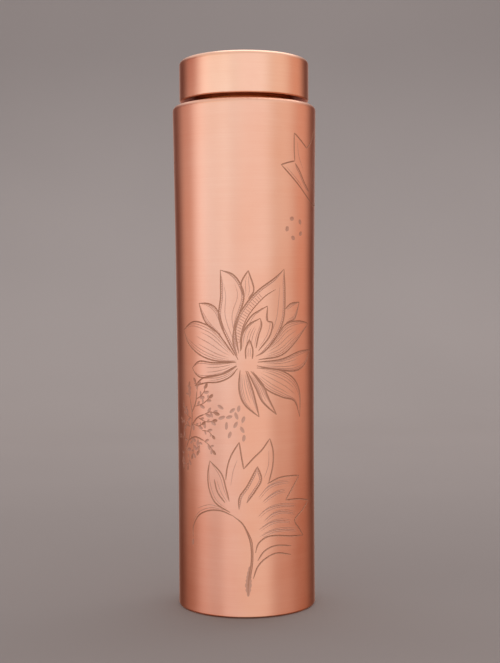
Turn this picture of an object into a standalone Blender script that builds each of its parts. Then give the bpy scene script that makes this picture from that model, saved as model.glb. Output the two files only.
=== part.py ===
"""Copper water bottle with a screw cap.

A drawn copper shell with a brazed-in base and a threaded neck collar, closed by a double-skinned
copper cap that screws down on a silicone seal.  Metres, +Z up.  The origin is the centre of the
foot, on the surface that the bottle stands on.

Run with: blender --background --python part.py
"""

import math

import bmesh
import bpy
from mathutils import Vector

MM = 0.001
SEGMENTS = 48  # facets round every turned piece

# Overall shape
BOTTLE_HEIGHT = 280.0 * MM  # foot to top of cap
SHOULDER_HEIGHT = 256.5 * MM
CAP_GAP = 2.3 * MM  # bare neck showing between shoulder and cap rim
FOOT_RADIUS = 35.3 * MM
WAIST_RADIUS = 35.2 * MM  # the wall draws in a little, then flares to the shoulder
WAIST_HEIGHT = 75.0 * MM
WAIST_CURVE = 1.65  # power of the flare: 1 would be two straight cones
SHOULDER_RADIUS = 36.8 * MM
CAP_RADIUS = 33.2 * MM

# Sheet and joints
BODY_SHEET = 0.6 * MM
BASE_SHEET = 0.8 * MM
INSERT_SHEET = 0.8 * MM
RETAINER_SHEET = 0.6 * MM
JOINT_GAP = 0.3 * MM  # brazed, crimped and touching pieces keep this much between them
WALL_STATIONS = 8  # straight steps that the curved wall is drawn in

# Foot and base
FOOT_EDGE = 1.2 * MM  # radius of the rolled edge
FOOT_LIP_RADIUS = 32.0 * MM  # inner edge of the rolled foot
BASE_RECESS = 4.0 * MM  # height of the base plate's underside
BASE_EDGE = 1.5 * MM
BASE_PANEL_RISE = 1.5 * MM  # stiffening panel pressed up in the middle
BASE_PANEL_RADIUS = 18.0 * MM
BASE_PANEL_FOOT = 24.0 * MM
PANEL_STEPS = 4
BRAZE_LEG = 1.5 * MM
BRAZE_END_ANGLE = 35  # degrees round the base disc's edge at which the filler meets the wall

# Shoulder and neck
SHOULDER_EDGE = 2.6 * MM
NECK_HEIGHT = 19.3 * MM  # lip above the shoulder
NECK_BORE = 23.1 * MM
NECK_ROOT = 24.3 * MM  # wall at the foot of the thread
NECK_LAND = 25.5 * MM  # plain band that fills the shoulder's hole
LAND_HEIGHT = 4.0 * MM  # above the shoulder
LAND_CHAMFER = 0.6 * MM
NECK_FLANGE_RADIUS = 28.5 * MM
NECK_FLANGE = 0.8 * MM
NECK_BRAZE_LEG = 1.0 * MM

# Thread: right-handed, one start, the same form on neck and cap
PITCH = 5.0 * MM
THREAD_DEPTH = 1.2 * MM
THREAD_BASE = 2.0 * MM  # width at the wall
THREAD_CREST = 0.8 * MM
THREAD_CLEARANCE = 0.3 * MM
THREAD_BURIAL = 0.35 * MM  # how far each ridge is rooted in its wall
THREAD_TURNS = 1.75
THREAD_START = 7.1 * MM  # first turn of the neck's ridge, above the shoulder
THREAD_RUN_OUT = 5  # facets over which a ridge rises from its wall
THREAD_TIP = 0.13  # share of its height at which a ridge starts, still inside the wall
THREAD_DROP = 1.6 * MM  # the cap's ridge hangs this far under the neck's

# Cap, measured up from its rim
CAP_EDGE = 2.5 * MM
CAP_RIM_EDGE = 1.0 * MM
CAP_LIP_RADIUS = 27.0 * MM  # inner edge of the crimped rim
INSERT_FLANGE_RADIUS = 31.9 * MM  # sits in the crimp, clear of its bend
INSERT_EDGE = 1.2 * MM
RETAINER_RADIUS = 21.1 * MM
RETAINER_RIM = 22.3 * MM
SEAL_BORE = 21.4 * MM
SEAL_RADIUS = 25.5 * MM
SEAL_CHAMFER = 0.3 * MM

ARC_STEPS = 4

CAP_RIM_HEIGHT = SHOULDER_HEIGHT + CAP_GAP
CAP_HEIGHT = BOTTLE_HEIGHT - CAP_RIM_HEIGHT
INSERT_TOP = CAP_HEIGHT - BODY_SHEET - JOINT_GAP
INSERT_WALL = NECK_LAND + THREAD_CLEARANCE  # inner face of the cap's threaded skin
SEAL_TOP = INSERT_TOP - INSERT_SHEET - JOINT_GAP
SEAL_BOTTOM = NECK_HEIGHT - CAP_GAP + JOINT_GAP


def clear_scene():
    for item in list(bpy.data.objects):
        bpy.data.objects.remove(item, do_unlink=True)


def metal(name, colour, roughness, metallic=1.0):
    material = bpy.data.materials.new(name)
    material.use_nodes = True
    shader = material.node_tree.nodes["Principled BSDF"]
    shader.inputs["Base Color"].default_value = (*colour, 1.0)
    shader.inputs["Roughness"].default_value = roughness
    shader.inputs["Metallic"].default_value = metallic
    return material


def axis_empty(name, height, parent=None):
    """An empty on the bottle's axis, which is the line that the cap turns and lifts along."""
    empty = bpy.data.objects.new(name, None)
    bpy.context.scene.collection.objects.link(empty)
    empty.parent = parent
    empty.location.z = height
    return empty


def arc(centre_radius, centre_height, radius, start, end, steps=ARC_STEPS):
    """Points of a round edge in the (radius, height) plane, from one angle in degrees to another."""
    points = []
    for step in range(steps + 1):
        angle = math.radians(start + (end - start) * step / steps)
        points.append(
            (centre_radius + radius * math.cos(angle), centre_height + radius * math.sin(angle))
        )
    return points


def sheet(outline, thickness):
    """Closed cross-section of sheet metal: an outline, and its copy set off to the left of its
    direction (or to the right, for a negative thickness)."""
    points = [Vector(point) for point in outline]
    copy = []
    for index, point in enumerate(points):
        normals = []
        for first, second in ((index - 1, index), (index, index + 1)):
            if 0 <= first and second < len(points):
                along = (points[second] - points[first]).normalized()
                normals.append(Vector((-along.y, along.x)))
        middle = sum(normals, Vector((0.0, 0.0))).normalized()
        copy.append(point + middle * thickness / middle.dot(normals[0]))
    return [tuple(point) for point in points + copy[::-1]]


def turned(name, section, material, parent):
    """A body of revolution about Z from a cross-section of (radius, height) points.  A section
    that starts on the axis ends there too, and makes a disc; any other section is closed."""
    on_axis = section[0][0] < MM / 100
    shape = bmesh.new()
    points = [shape.verts.new((radius, 0.0, height)) for radius, height in section]
    edges = [shape.edges.new(pair) for pair in zip(points, points[1:])]
    if not on_axis:
        edges.append(shape.edges.new((points[-1], points[0])))
    bmesh.ops.spin(
        shape,
        geom=points + edges,
        axis=(0, 0, 1),
        cent=(0, 0, 0),
        steps=SEGMENTS,
        angle=math.tau,
        use_merge=True,
    )
    bmesh.ops.remove_doubles(shape, verts=shape.verts, dist=MM / 1000)
    return placed(name, shape, material, parent)


def placed(name, shape, material, parent):
    """A finished bmesh as a named object under its parent empty."""
    bmesh.ops.recalc_face_normals(shape, faces=shape.faces)
    mesh = bpy.data.meshes.new(name)
    shape.to_mesh(mesh)
    shape.free()
    mesh.shade_smooth()
    mesh.set_sharp_from_angle(angle=math.radians(35))
    mesh.materials.append(material)
    item = bpy.data.objects.new(name, mesh)
    bpy.context.scene.collection.objects.link(item)
    item.parent = parent
    return item


def wall_radius(height):
    """Outer radius of the body, which flares from the waist to the foot and to the shoulder."""
    if height < WAIST_HEIGHT:
        share = (WAIST_HEIGHT - height) / WAIST_HEIGHT
        return WAIST_RADIUS + (FOOT_RADIUS - WAIST_RADIUS) * share**WAIST_CURVE
    share = (height - WAIST_HEIGHT) / (SHOULDER_HEIGHT - WAIST_HEIGHT)
    return WAIST_RADIUS + (SHOULDER_RADIUS - WAIST_RADIUS) * share**WAIST_CURVE


def body_shell(material, parent):
    """Drawn copper wall, rolled in under the foot and turned in over the top as the shoulder."""
    low = FOOT_EDGE
    high = SHOULDER_HEIGHT - SHOULDER_EDGE
    foot_centre = wall_radius(low) - FOOT_EDGE
    shoulder_centre = wall_radius(high) - SHOULDER_EDGE
    outline = [(FOOT_LIP_RADIUS, 0.0)]
    outline += arc(foot_centre, low, FOOT_EDGE, -90, 0)
    for station in range(1, WALL_STATIONS):
        height = low + (high - low) * station / WALL_STATIONS
        outline.append((wall_radius(height), height))
    outline += arc(shoulder_centre, high, SHOULDER_EDGE, 0, 90)
    outline.append((NECK_LAND + JOINT_GAP, SHOULDER_HEIGHT))
    return turned("body_shell", sheet(outline, BODY_SHEET), material, parent)


def base_disc_radius():
    return wall_radius(BASE_RECESS + BASE_SHEET + BRAZE_LEG) - BODY_SHEET - JOINT_GAP


def base_disc(material, parent):
    """Pressed base, recessed above the foot, with a raised panel and a flange down to the foot."""
    top = BASE_RECESS + BASE_SHEET
    radius = base_disc_radius()
    outline = [(0.0, top + BASE_PANEL_RISE)]
    for step in range(PANEL_STEPS + 1):
        share = step / PANEL_STEPS
        panel = BASE_PANEL_RADIUS + (BASE_PANEL_FOOT - BASE_PANEL_RADIUS) * share
        outline.append((panel, top + BASE_PANEL_RISE * (1 + math.cos(math.pi * share)) / 2))
    outline += arc(radius - BASE_EDGE, top - BASE_EDGE, BASE_EDGE, 90, 0)
    outline.append((radius, BODY_SHEET + JOINT_GAP))
    return turned("base_disc", sheet(outline, -BASE_SHEET), material, parent)


def base_braze_ring(material, parent):
    """Filler run into the corner above the base disc's rounded edge, so that the foot holds water."""
    top = BASE_RECESS + BASE_SHEET
    corner = base_disc_radius() - BASE_EDGE
    section = arc(corner, top - BASE_EDGE, BASE_EDGE + JOINT_GAP, 90, BRAZE_END_ANGLE, steps=2)
    section.append((section[-1][0], top + BRAZE_LEG))
    section.append(((section[0][0] + section[-1][0]) / 2, top + BRAZE_LEG / 2))
    return turned("base_braze_ring", section, material, parent)


def thread_ridge(name, wall, crest, start, parent):
    """The raised helix of a thread, rooted in a wall, as a hidden helper for a Boolean union.
    It rises with the angle, so it is right-handed, and fades into the wall at both ends."""
    outward = math.copysign(1.0, crest - wall)
    steps = round(THREAD_TURNS * SEGMENTS)
    shape = bmesh.new()
    rings = []
    for step in range(steps + 1):
        turns = (step + 0.5) / SEGMENTS  # half a facet on, clear of the wall's own corners
        angle = math.tau * turns
        middle = start + PITCH * turns
        grown = min(1.0, step / THREAD_RUN_OUT, (steps - step) / THREAD_RUN_OUT)
        buried = wall - outward * THREAD_BURIAL
        top = buried + (crest - buried) * (THREAD_TIP + (1 - THREAD_TIP) * grown)
        section = (
            (buried, middle - THREAD_BASE / 2),
            (top, middle - THREAD_CREST / 2),
            (top, middle + THREAD_CREST / 2),
            (buried, middle + THREAD_BASE / 2),
        )
        ring = [
            shape.verts.new((radius * math.cos(angle), radius * math.sin(angle), height))
            for radius, height in section
        ]
        rings.append(ring)
    for before, after in zip(rings, rings[1:]):
        for side in range(4):
            following = (side + 1) % 4
            shape.faces.new((before[side], before[following], after[following], after[side]))
    shape.faces.new(rings[0])
    shape.faces.new(rings[-1])
    ridge = placed(name, shape, bpy.data.materials["copper_inner"], parent)
    ridge.hide_render = True
    ridge.display_type = "WIRE"
    return ridge


def join_ridge(item, ridge):
    union = item.modifiers.new("thread", "BOOLEAN")
    union.operation = "UNION"
    union.object = ridge


def neck_collar(material, parent):
    """Turned collar: a flange under the shoulder, a plain land through its hole, then the thread
    and a rounded lip that the seal closes on."""
    flange_top = SHOULDER_HEIGHT - BODY_SHEET - JOINT_GAP
    flange_bottom = flange_top - NECK_FLANGE
    land_top = SHOULDER_HEIGHT + LAND_HEIGHT
    lip = (NECK_ROOT - NECK_BORE) / 2
    section = [(NECK_BORE, flange_bottom)]
    section += arc(NECK_BORE + lip, SHOULDER_HEIGHT + NECK_HEIGHT - lip, lip, 180, 0)
    section += [
        (NECK_ROOT, land_top + LAND_CHAMFER),
        (NECK_LAND, land_top),
        (NECK_LAND, flange_top),
        (NECK_FLANGE_RADIUS, flange_top),
        (NECK_FLANGE_RADIUS, flange_bottom),
    ]
    collar = turned("neck_collar", section, material, parent)
    crest = NECK_ROOT + THREAD_DEPTH
    start = SHOULDER_HEIGHT + THREAD_START
    join_ridge(collar, thread_ridge("neck_thread_helper", NECK_ROOT, crest, start, parent))
    return collar


def neck_braze_ring(material, parent):
    """Filler fillet round the collar's flange, on the underside of the shoulder."""
    top = SHOULDER_HEIGHT - BODY_SHEET - JOINT_GAP
    inner = NECK_FLANGE_RADIUS + JOINT_GAP
    section = [
        (inner, top),
        (inner, top - NECK_BRAZE_LEG),
        (inner + NECK_BRAZE_LEG, top),
    ]
    return turned("neck_braze_ring", section, material, parent)


def cap_shell(material, parent):
    """Outer skin of the cap: a flat-topped cup whose rim is crimped in under the insert."""
    outline = [(0.0, CAP_HEIGHT)]
    outline += arc(CAP_RADIUS - CAP_EDGE, CAP_HEIGHT - CAP_EDGE, CAP_EDGE, 90, 0)
    outline += arc(CAP_RADIUS - CAP_RIM_EDGE, CAP_RIM_EDGE, CAP_RIM_EDGE, 0, -90)
    outline.append((CAP_LIP_RADIUS, 0.0))
    return turned("cap_shell", sheet(outline, -BODY_SHEET), material, parent)


def cap_insert(material, parent):
    """Inner skin of the cap: a threaded cup with an out-turned flange that the crimp holds."""
    radius = INSERT_WALL + INSERT_SHEET
    flange_top = BODY_SHEET + JOINT_GAP + INSERT_SHEET
    outline = [(0.0, INSERT_TOP)]
    outline += arc(radius - INSERT_EDGE, INSERT_TOP - INSERT_EDGE, INSERT_EDGE, 90, 0)
    outline += [(radius, flange_top), (INSERT_FLANGE_RADIUS, flange_top)]
    insert = turned("cap_insert", sheet(outline, -INSERT_SHEET), material, parent)
    crest = INSERT_WALL - THREAD_DEPTH
    start = THREAD_START - CAP_GAP - THREAD_DROP
    join_ridge(insert, thread_ridge("cap_thread_helper", INSERT_WALL, crest, start, parent))
    return insert


def seal_retainer(material, parent):
    """Pressed disc brazed inside the insert; its flared rim tucks under the seal's inner edge."""
    rim_top = SEAL_BOTTOM - JOINT_GAP
    outline = [
        (0.0, SEAL_TOP),
        (RETAINER_RADIUS - RETAINER_SHEET, SEAL_TOP),
        (RETAINER_RADIUS, SEAL_TOP - RETAINER_SHEET),
        (RETAINER_RADIUS, rim_top),
        (RETAINER_RIM, rim_top),
    ]
    return turned("seal_retainer", sheet(outline, -RETAINER_SHEET), material, parent)


def cap_seal(material, parent):
    """Flat silicone washer that closes on the neck's lip."""
    section = []
    for radius, inward in ((SEAL_BORE, 1), (SEAL_RADIUS, -1)):
        ends = [
            (radius + inward * SEAL_CHAMFER, SEAL_BOTTOM),
            (radius, SEAL_BOTTOM + SEAL_CHAMFER),
            (radius, SEAL_TOP - SEAL_CHAMFER),
            (radius + inward * SEAL_CHAMFER, SEAL_TOP),
        ]
        section += ends[::inward]
    return turned("cap_seal", section, material, parent)


def main():
    clear_scene()
    satin = metal("copper_satin", (0.86, 0.50, 0.36), 0.36)
    cap_satin = metal("copper_cap", (0.88, 0.53, 0.37), 0.32)
    inner = metal("copper_inner", (0.80, 0.44, 0.31), 0.42)
    braze = metal("braze_filler", (0.82, 0.74, 0.56), 0.45)
    silicone = metal("silicone", (0.88, 0.88, 0.86), 0.55, metallic=0.0)

    bottle = axis_empty("bottle_axis", 0.0)
    body_shell(satin, bottle)
    base_disc(inner, bottle)
    base_braze_ring(braze, bottle)
    neck_collar(inner, bottle)
    neck_braze_ring(braze, bottle)

    lift = axis_empty("cap_lift_axis", CAP_RIM_HEIGHT, bottle)
    cap_seal(silicone, lift)
    turn = axis_empty("cap_turn_axis", 0.0, lift)
    cap_shell(cap_satin, turn)
    cap_insert(inner, turn)
    seal_retainer(inner, turn)


main()
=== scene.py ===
"""Satin copper water bottle, engraved with lotus line work, on a pale paper sweep.

Every piece is turned from its own cross-section round the bottle's axis.  The body wall is laid out
flat, cut along each engraved line, and rolled up again, so that the engraving is real grooves.
Metres throughout, apart from the drawing, which is in millimetres round and up the wall.
"""

import math

import bmesh
import bpy
import numpy as np
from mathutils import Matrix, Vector, noise
from mathutils.geometry import delaunay_2d_cdt


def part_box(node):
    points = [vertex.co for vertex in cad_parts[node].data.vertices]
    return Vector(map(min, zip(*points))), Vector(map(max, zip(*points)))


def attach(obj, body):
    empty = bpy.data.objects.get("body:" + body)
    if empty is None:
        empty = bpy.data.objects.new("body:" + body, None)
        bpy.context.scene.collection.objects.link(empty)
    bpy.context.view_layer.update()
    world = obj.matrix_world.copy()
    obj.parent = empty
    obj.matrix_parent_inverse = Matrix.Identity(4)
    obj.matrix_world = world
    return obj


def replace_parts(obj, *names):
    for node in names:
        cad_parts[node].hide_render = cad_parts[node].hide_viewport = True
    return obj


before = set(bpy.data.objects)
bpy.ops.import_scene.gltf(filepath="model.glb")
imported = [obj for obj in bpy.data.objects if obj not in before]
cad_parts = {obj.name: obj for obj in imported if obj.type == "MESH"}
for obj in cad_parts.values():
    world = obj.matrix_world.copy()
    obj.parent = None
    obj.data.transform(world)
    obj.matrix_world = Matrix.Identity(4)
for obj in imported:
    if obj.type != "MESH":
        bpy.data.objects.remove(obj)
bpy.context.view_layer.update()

MM = 0.001
DEGREES = 180 / math.pi  # in one radian

# Places read from the frame
SHOULDER_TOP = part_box("body_shell")[1].z
NECK_LOW, NECK_HIGH = (corner.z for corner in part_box("neck_collar"))
CAP_RIM, CAP_TOP = (corner.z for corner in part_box("cap_shell"))
CAP_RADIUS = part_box("cap_shell")[1].x
FLANGE_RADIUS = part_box("neck_collar")[1].x
BASE_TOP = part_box("base_disc")[1].z
SEAL_LOW, SEAL_HIGH = (corner.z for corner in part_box("cap_seal"))
SEAL_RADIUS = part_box("cap_seal")[1].x
KEEPER_LOW, KEEPER_HIGH = (corner.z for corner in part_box("seal_retainer"))
KEEPER_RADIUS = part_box("seal_retainer")[1].x
LINING_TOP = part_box("cap_insert")[1].z

# Body
COPPER_SHEET = 0.6 * MM
FOOT_RADIUS = 35.3 * MM
WAIST_RADIUS = 35.2 * MM
WAIST_HEIGHT = 75.0 * MM
WAIST_CURVE = 1.65
SHOULDER_RADIUS = 36.8 * MM
FOOT_ROLL = 1.2 * MM
FOOT_LIP = 32.0 * MM
SHOULDER_ROLL = 2.6 * MM
JOINT_GAP = 0.3 * MM

# Base
PLATE_SHEET = 0.8 * MM
PLATE_RECESS = 4.0 * MM
PANEL_RADIUS = 18.0 * MM
PANEL_FOOT = 24.0 * MM
PLATE_EDGE = 1.5 * MM
FILLER_LEG = 1.5 * MM

# Neck and thread
NECK_BORE = 23.1 * MM
NECK_ROOT = 24.3 * MM
NECK_LAND = 25.5 * MM
LAND_HEIGHT = 4.0 * MM
FLANGE_SHEET = 0.8 * MM
PITCH = 5.0 * MM
RIDGE_HEIGHT = 1.2 * MM
RIDGE_FOOT = 1.1 * MM  # half the ridge's width at the wall
RIDGE_CREST = 0.4 * MM
RIDGE_TURNS = 1.75
NECK_RIDGE_START = SHOULDER_TOP + 7.1 * MM
CAP_RIDGE_START = NECK_RIDGE_START - 1.6 * MM
RUN_OUT_TURNS = 0.125

# Cap
CAP_ROLL = 2.5 * MM
CAP_RIM_ROLL = 1.0 * MM
CAP_LIP = 27.0 * MM
LINING_FLANGE = 31.9 * MM
LINING_SHEET = 0.8 * MM
LINING_BORE = NECK_LAND + JOINT_GAP
LINING_ROLL = 1.2 * MM
KEEPER_SHEET = 0.6 * MM
KEEPER_WALL = 21.1 * MM
SEAL_BORE = 21.4 * MM
SEAL_ROUND = 0.4 * MM

# Fineness
COLUMNS = 240  # facets round each turned piece, and columns in the flat wall
ANGLES = [math.tau * number / COLUMNS for number in range(COLUMNS)]
ROLL_STEPS = 8
WALL_ROWS = 26  # points up each column of the flat wall
SKIN_ROWS = 13  # points up the inner skin
THREAD_ROW = 0.25 * MM
ON_AXIS = 0.01 * MM
SAME_POINT = 0.001 * MM
SAME_WALL_POINT = 0.003 * MM

# The flat wall: millimetres round from the front line, and up from the foot
FLAT_RADIUS = 35.0
ROUND = math.tau * FLAT_RADIUS
GROOVE = 0.38  # half-width of an outline
HAIRLINE = 0.17  # half-width of a shading line
BAND = 1.0  # width of the ribbed border along a tall petal
GROOVE_DEPTH = 0.12
HAIRLINE_DEPTH = 0.05
STROKE_STEP = 1.1
RIB_STEP = 0.9
LEAF_STEP = 0.45


# ---------------------------------------------------------------- the drawing


def smooth(points, step=STROKE_STEP):
    """A curve through a few points, as evenly spaced points (Catmull-Rom)."""
    knots = np.array(points, float)
    if len(knots) == 2:
        knots = np.vstack([knots[0], knots.mean(axis=0), knots[1]])
    ends = (2 * knots[0] - knots[1], 2 * knots[-1] - knots[-2])
    padded = np.vstack([ends[0], knots, ends[1]])
    share = np.linspace(0, 1, 12, endpoint=False)[:, None]
    run = []
    for before, start, end, after in zip(padded, padded[1:], padded[2:], padded[3:]):
        bend = 2 * before - 5 * start + 4 * end - after
        twist = 3 * start - before - 3 * end + after
        run.append(0.5 * (2 * start + (end - before) * share + bend * share**2 + twist * share**3))
    run = np.vstack([*run, knots[-1]])
    length = np.concatenate([[0], np.cumsum(np.linalg.norm(np.diff(run, axis=0), axis=1))])
    count = max(3, round(length[-1] / step) + 1)
    places = np.linspace(0, length[-1], count)
    return np.column_stack([np.interp(places, length, run[:, axis]) for axis in (0, 1)])


def evenly(run, count):
    """The same curve with another number of points."""
    places = np.linspace(0, 1, count)
    have = np.linspace(0, 1, len(run))
    return np.column_stack([np.interp(places, have, run[:, axis]) for axis in (0, 1)])


def left_of(run):
    """Unit steps to the left of a curve, one at each of its points."""
    along = np.gradient(run, axis=0)
    along /= np.linalg.norm(along, axis=1)[:, None]
    return np.column_stack([-along[:, 1], along[:, 0]])


def toward(bearing):
    """A unit step in a direction given in degrees, up from the way round to the right."""
    angle = math.radians(bearing)
    return np.array([math.cos(angle), math.sin(angle)])


def bearing_of(step):
    return math.degrees(math.atan2(step[1], step[0]))


LEFT = 1
RIGHT = -1


class Drawing:
    """The engraver's strokes: each is its points, its half-widths and its depths."""

    def __init__(self):
        self.strokes = []

    def stroke(self, run, half=GROOVE, depth=GROOVE_DEPTH, taper=0.12):
        share = np.linspace(0, 1, len(run))
        swell = np.clip(np.minimum(share, 1 - share) / taper, 0, 1)
        self.strokes.append((run, half * (0.45 + 0.55 * swell), depth * (0.3 + 0.7 * swell)))

    def outline(self, *points):
        self.stroke(smooth(points))

    def hair(self, run):
        self.stroke(run, HAIRLINE, HAIRLINE_DEPTH, taper=0.3)

    def shading(self, *points):
        self.hair(smooth(points))

    def petal(self, left, right, rim=(), veins=(), vein_reach=0.7):
        """A petal from its two edges, each drawn from foot to tip.  Rim lines run along inside
        both edges; veins fan up the middle from the foot."""
        sides = [smooth(left), smooth(right)]
        for side in sides:
            self.stroke(side)
        count = max(len(side) for side in sides)
        sides = [evenly(side, count) for side in sides]
        middle = (sides[0] + sides[1]) / 2
        for side in sides:
            for share in rim:
                inner = side + (middle - side) * share
                self.hair(inner[count // 12 : count - count // 10])
        for share in veins:
            vein = sides[0] * (1 - share) + sides[1] * share
            start = count // 10
            stop = int(count * (vein_reach - 0.3 * abs(share - 0.5)))
            if stop - start > 2:
                self.hair(vein[start:stop])

    def hatch(self, left, right, count):
        """Short ribs from one curve to another."""
        for rib in zip(evenly(smooth(left), count), evenly(smooth(right), count)):
            self.hair(smooth(rib, RIB_STEP))

    def band(self, points, side):
        """A border: an outline, a finer line to its LEFT or RIGHT, and slanting ribs between the two."""
        run = smooth(points)
        share = np.linspace(0, 1, len(run))[:, None]
        inner = run + left_of(run) * side * BAND * np.clip(np.minimum(share, 1 - share) / 0.15, 0, 1)
        self.stroke(run)
        self.stroke(inner, HAIRLINE * 1.2, HAIRLINE_DEPTH * 1.4)
        for rib in zip(run[1:-2], inner[2:-1]):
            self.hair(smooth(rib, RIB_STEP))

    def blob(self, centre, length, width, bearing, depth=HAIRLINE_DEPTH * 1.4):
        """A small solid leaf or petal, cut side by side until it is filled."""
        out = toward(bearing) * length / 2
        run = smooth((np.array(centre) - out, np.array(centre) + out), LEAF_STEP)
        share = np.linspace(0, 1, len(run))
        swell = np.sqrt(np.clip(1 - (2 * share - 1) ** 2, 0.04, 1))
        self.strokes.append((run, width / 2 * swell, depth * swell))

    def sprig(self, points, leaves, size, first_side=1):
        """A short crooked stem with solid leaves to both sides in turn and one at its end."""
        stem = smooth(points, step=0.8)
        self.stroke(stem, HAIRLINE * 1.3, GROOVE_DEPTH * 0.7)
        # The leaves' angle and length wander from one to the next
        for number in range(leaves):
            place = (number + 0.8) / (leaves + 0.3)
            index = min(int(place * (len(stem) - 1)), len(stem) - 2)
            along = stem[index + 1] - stem[index]
            side = first_side if number % 2 else -first_side
            turn = 46 + 17 * math.sin(2.3 * number + points[0][0])
            reach = size * (1.05 - 0.3 * place + 0.22 * math.sin(3.1 * number + points[0][1]))
            bearing = bearing_of(along) + side * turn
            self.blob(stem[index] + toward(bearing) * reach * 0.62, reach * 1.1, 0.58 * reach, bearing)
        tip = stem[-1] - stem[-2]
        self.blob(stem[-1] + tip * 0.8, size * 1.05, size * 0.6, bearing_of(tip), GROOVE_DEPTH)

    def floret(self, centre, radius, size, turn):
        """A ring of five solid round petals about an empty heart."""
        for number in range(5):
            bearing = turn + 360 * number / 5
            self.blob(np.array(centre) + toward(bearing) * radius, size, size * 0.8, bearing + 70)


# Shares of the way across a petal
EDGE_RIM = (0.18, 0.36)
VEINS = (0.3, 0.5, 0.7)
TWO_VEINS = (0.35, 0.65)


def lotus(art):
    """The open flower at mid-height."""
    # Tall petals and the bud between them
    art.band(((-3.5, 128), (-8.5, 137.4), (-13, 148.4), (-12, 159.3), (-12, 172.1)), RIGHT)
    art.band(((-3.2, 131.1), (-4.6, 143.7), (-0.6, 157.8), (-2.2, 165.1), (-6, 170), (-12, 172.1)), LEFT)
    art.shading((-4.6, 134.3), (-9.6, 148.9), (-9.4, 159.3), (-10.4, 165.6))
    art.shading((-4.2, 136.4), (-6.4, 148.9), (-3.6, 159.3), (-5, 165.6))
    art.petal(
        ((-0.4, 158.3), (-1.9, 165.2), (1.6, 171.8)),
        ((1.6, 157.9), (4.3, 162.5), (1.6, 171.8)),
        veins=TWO_VEINS, vein_reach=0.9,
    )
    art.band(
        ((-4, 130.1), (-6, 137.4), (-4.4, 146.8), (0.3, 155.2), (6.8, 162.3), (15, 168.1), (20, 172.4)),
        RIGHT,
    )
    art.band(((5, 129.7), (9.2, 131.8), (15.4, 138.4), (19.8, 147.9), (20.6, 159.3), (20, 172.4)), LEFT)
    art.shading((10.4, 136.4), (15.4, 146.8), (17, 157.3), (17.6, 164.6))
    fold = smooth(((-2.8, 136.4), (-0.8, 144.7), (3.2, 152), (9.6, 158.9), (15.4, 162.5)))
    art.stroke(fold, HAIRLINE * 1.4)
    art.hatch(
        ((-5.2, 137.4), (-3.6, 146.8), (1.1, 154.8), (6.4, 160.6)),
        ((-2.8, 136.4), (-0.8, 144.7), (3.2, 152), (8.6, 158.1)),
        20,
    )
    # Petals nested inside the front one
    art.petal(
        ((-2.4, 132.2), (-1.4, 141.6), (2.6, 148.9), (6.4, 151.8), (11, 154.3)),
        ((6.4, 132.4), (12, 139.3), (13.7, 145.8), (11, 147.2), (11, 154.3)),
        rim=(0.22,),
    )
    art.petal(
        ((-1.8, 133.2), (-1.6, 139.5), (1.4, 144.9), (7.4, 148.3)),
        ((5.2, 133.6), (6.4, 139.5), (8, 144.7), (7.4, 148.3)),
        rim=(0.25,), veins=(0.35, 0.5, 0.65),
    )
    art.petal(
        ((0.2, 128.4), (0.2, 133.2), (2, 138)),
        ((3.4, 128.4), (3.6, 133.2), (2, 138)),
        veins=TWO_VEINS,
    )
    # Petals to the left
    art.petal(
        ((-12.4, 140.5), (-18.4, 144.3), (-22, 148.9), (-24.4, 155.8)),
        ((-10.6, 142.6), (-13.6, 152), (-18, 155.4), (-24.4, 155.8)),
        rim=EDGE_RIM,
    )
    art.petal(
        ((-5, 127.4), (-15, 127.4), (-24.5, 130.3), (-33, 135.9), (-37.2, 142.4)),
        ((-5.4, 130.1), (-14, 141.4), (-20.5, 145.3), (-28.6, 146.6), (-37.2, 142.4)),
        rim=EDGE_RIM, veins=VEINS,
    )
    art.petal(
        ((-4.4, 125.2), (-12, 120.8), (-22, 118.8), (-27, 120.4), (-29.8, 123.6)),
        ((-4.6, 126.8), (-16, 126.4), (-24.5, 127), (-29.8, 123.6)),
        rim=(0.25,), veins=TWO_VEINS,
    )
    art.petal(
        ((-3.8, 123.8), (-7.5, 119.6), (-13.5, 117), (-20.5, 116.4), (-28, 114.6)),
        ((-4.2, 124.8), (-11, 121), (-22, 118.8), (-28, 114.6)),
        veins=TWO_VEINS,
    )
    # Petals hanging below
    art.petal(
        ((-2.6, 123), (-3.2, 113.5), (-0.6, 106), (6.6, 99.8)),
        ((0.2, 122.6), (3.2, 114), (5, 107), (6.6, 99.8)),
        rim=EDGE_RIM, veins=VEINS,
    )
    art.petal(
        ((1, 122.4), (5, 114), (8.4, 107), (15.6, 100.6)),
        ((3.6, 122), (8.6, 115.5), (11.6, 108.6), (15.6, 100.6)),
        rim=EDGE_RIM, veins=VEINS,
    )
    art.petal(
        ((2.6, 122.4), (10, 113.6), (18.6, 109.2), (26.8, 106.6), (30.6, 98.6)),
        ((5.6, 124), (17, 122.6), (26, 118), (30.6, 110.6), (30.6, 98.6)),
        rim=EDGE_RIM, veins=VEINS,
    )
    # Petals to the right
    art.petal(
        ((5.6, 125), (16, 122.8), (27, 121.8), (35, 124.8), (41, 131.8)),
        ((6, 126.8), (18, 127.8), (30, 131.3), (41, 131.8)),
        rim=EDGE_RIM, veins=TWO_VEINS,
    )
    art.petal(
        ((6.4, 128), (18, 129.7), (26.8, 135.7), (33.4, 141.4), (38.4, 145.3)),
        ((10.6, 132.8), (16.4, 139.9), (21.4, 145.3), (29.6, 146.6), (38.4, 145.3)),
        rim=EDGE_RIM, veins=VEINS,
    )
    art.petal(
        ((21.4, 146), (27, 148.1), (30.2, 156)),
        ((20.8, 152.7), (24.4, 155.4), (30.2, 156)),
        rim=EDGE_RIM,
    )


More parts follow.
